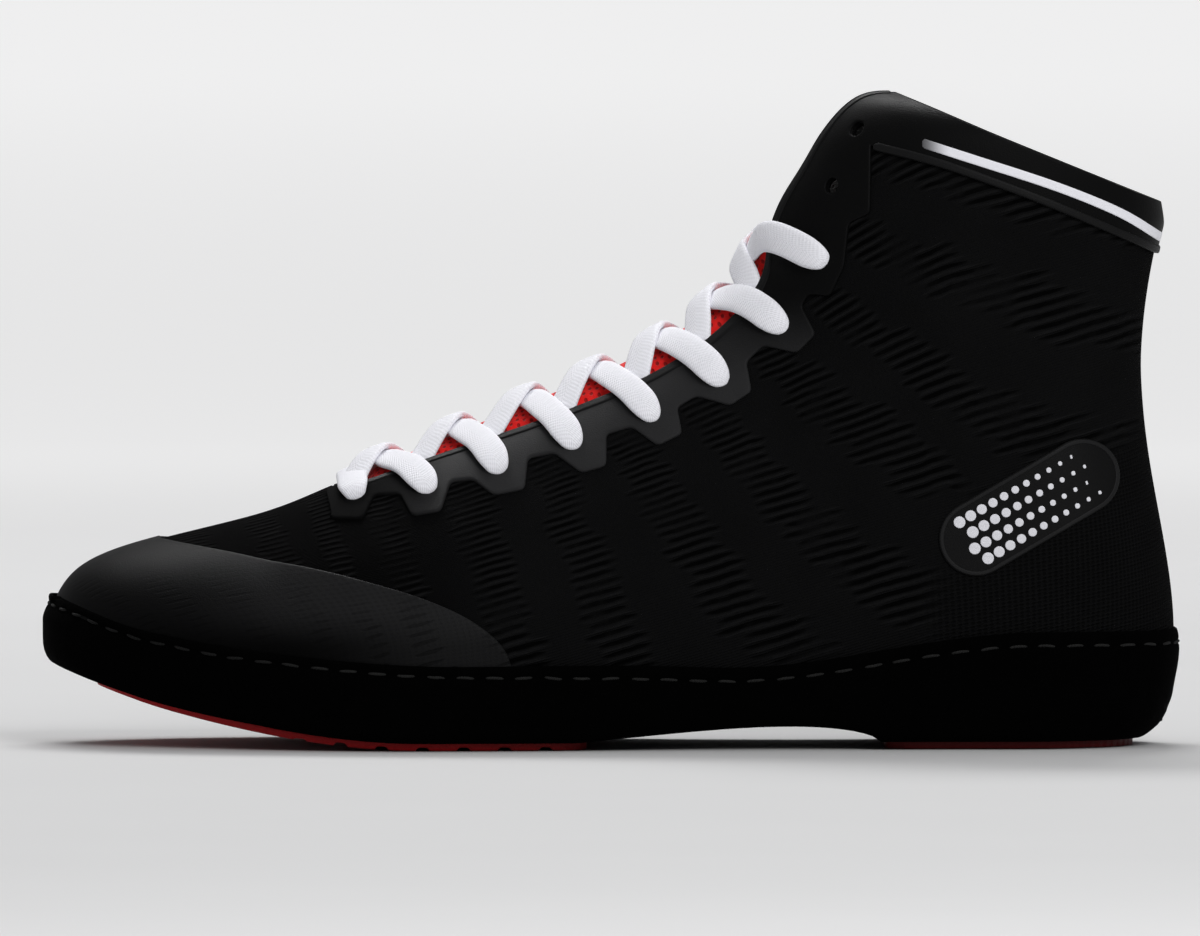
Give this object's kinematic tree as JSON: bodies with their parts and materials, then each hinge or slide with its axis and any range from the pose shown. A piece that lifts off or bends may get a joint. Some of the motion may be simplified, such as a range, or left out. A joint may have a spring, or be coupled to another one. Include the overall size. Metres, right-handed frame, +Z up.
{
  "type": "boxing shoe",
  "caption": "High-top lace-up boxing shoe for the left foot, with a knit upper, film toe cap and toothed eyestays, a stitched cup sole and a split rubber outsole.",
  "frame": {"origin": "centre of the footprint box, on the floor under the sole", "axes": "+X towards the toe, +Y towards the outer (lateral) side of the left foot, +Z up"},
  "size_m": [0.2891, 0.0978, 0.165],
  "materials": {
    "knit": "black engineered knit with rows of short slits",
    "wrap": "black matt napped leather, stitched along its top",
    "red_rubber": "matt red rubber",
    "footbed": "black fabric-topped foam",
    "film": "dark grey film bonded to the knit, satin",
    "cotton": "white flat woven lace",
    "tongue_mesh": "red open mesh"
  },
  "bodies": {
    "root": {"upper": "knit", "sole_cup": "wrap", "outsole_forefoot": "red_rubber", "outsole_heel": "red_rubber", "insole": "footbed", "tongue": "tongue_mesh", "toe_cap": "film", "eyestay_lateral": "film", "eyestay_medial": "film", "cuff": "film", "lace_bar": "cotton", "lace_cross_1": "cotton", "lace_cross_2": "cotton", "lace_cross_3": "cotton", "lace_cross_4": "cotton", "lace_cross_5": "cotton", "lace_cross_6": "cotton", "lace_cross_7": "cotton"}
  },
  "joints": []
}
